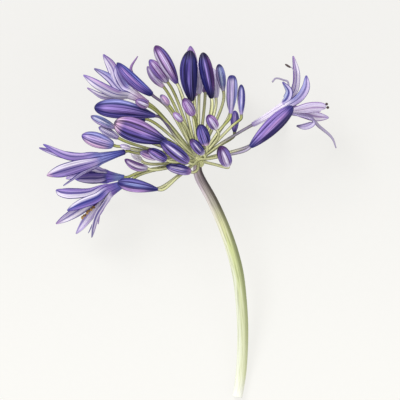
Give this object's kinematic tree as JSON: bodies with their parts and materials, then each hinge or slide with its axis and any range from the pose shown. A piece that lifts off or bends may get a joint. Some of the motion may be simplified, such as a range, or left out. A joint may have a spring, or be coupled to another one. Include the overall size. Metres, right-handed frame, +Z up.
{
  "type": "agapanthus flower stem",
  "caption": "Cut agapanthus flower stem lying on a surface: a bare curved stalk with one round head of violet buds and open lilac flowers.",
  "frame": {"origin": "on the surface it lies on, under the cut end of the stalk, at the small flat it rests on", "axes": "+Z up from the surface, +Y from the cut end towards the flower head, +X to the right of that way, seen from above"},
  "size_m": [0.1672, 0.1978, 0.0738],
  "materials": {
    "stem_green": "satin living stalk, yellow-green, turning grey-purple under the flower head",
    "bud_violet": "satin petal skin, deep violet with paler stripes",
    "bud_lilac": "satin petal skin, lilac with darker veins",
    "petal_lilac": "soft petal, lilac with a violet middle vein and edges",
    "petal_violet": "soft petal, deep violet"
  },
  "bodies": {
    "root": {"bud_front_1": "bud_lilac", "bud_front_10": "bud_lilac", "bud_front_2": "bud_lilac", "bud_front_3": "bud_violet", "bud_front_4": "bud_lilac", "bud_front_5": "bud_lilac", "bud_front_6": "bud_lilac", "bud_front_7": "bud_lilac", "bud_front_8": "bud_violet", "bud_front_9": "bud_violet", "bud_left_1": "bud_violet", "bud_left_10": "bud_lilac", "bud_left_11": "bud_lilac", "bud_left_12": "bud_violet", "bud_left_2": "bud_violet", "bud_left_3": "bud_violet", "bud_left_4": "bud_lilac", "bud_left_5": "bud_lilac", "bud_left_6": "bud_lilac", "bud_left_7": "bud_lilac", "bud_left_8": "bud_violet", "bud_left_9": "bud_lilac", "bud_right_1": "bud_violet", "bud_top_1": "bud_lilac", "bud_top_10": "bud_lilac", "bud_top_11": "bud_lilac", "bud_top_12": "bud_lilac", "bud_top_13": "bud_violet", "bud_top_2": "bud_lilac", "bud_top_3": "bud_lilac", "bud_top_4": "bud_violet", "bud_top_5": "bud_lilac", "bud_top_6": "bud_violet", "bud_top_7": "bud_lilac", "bud_top_8": "bud_lilac", "bud_top_9": "bud_lilac", "bud_under_1": "bud_violet", "bud_under_10": "bud_lilac", "bud_under_2": "bud_lilac", "bud_under_3": "bud_violet", "bud_under_4": "bud_lilac", "bud_under_5": "bud_violet", "bud_under_6": "bud_lilac", "bud_under_7": "bud_violet", "bud_under_8": "bud_lilac", "bud_under_9": "bud_violet", "flower_half_open": "petal_violet", "flower_left": "petal_lilac", "flower_lower_left": "petal_lilac", "flower_right": "petal_lilac", "flower_upper_left": "petal_lilac", "scape_and_pedicels": "stem_green"}
  },
  "joints": []
}
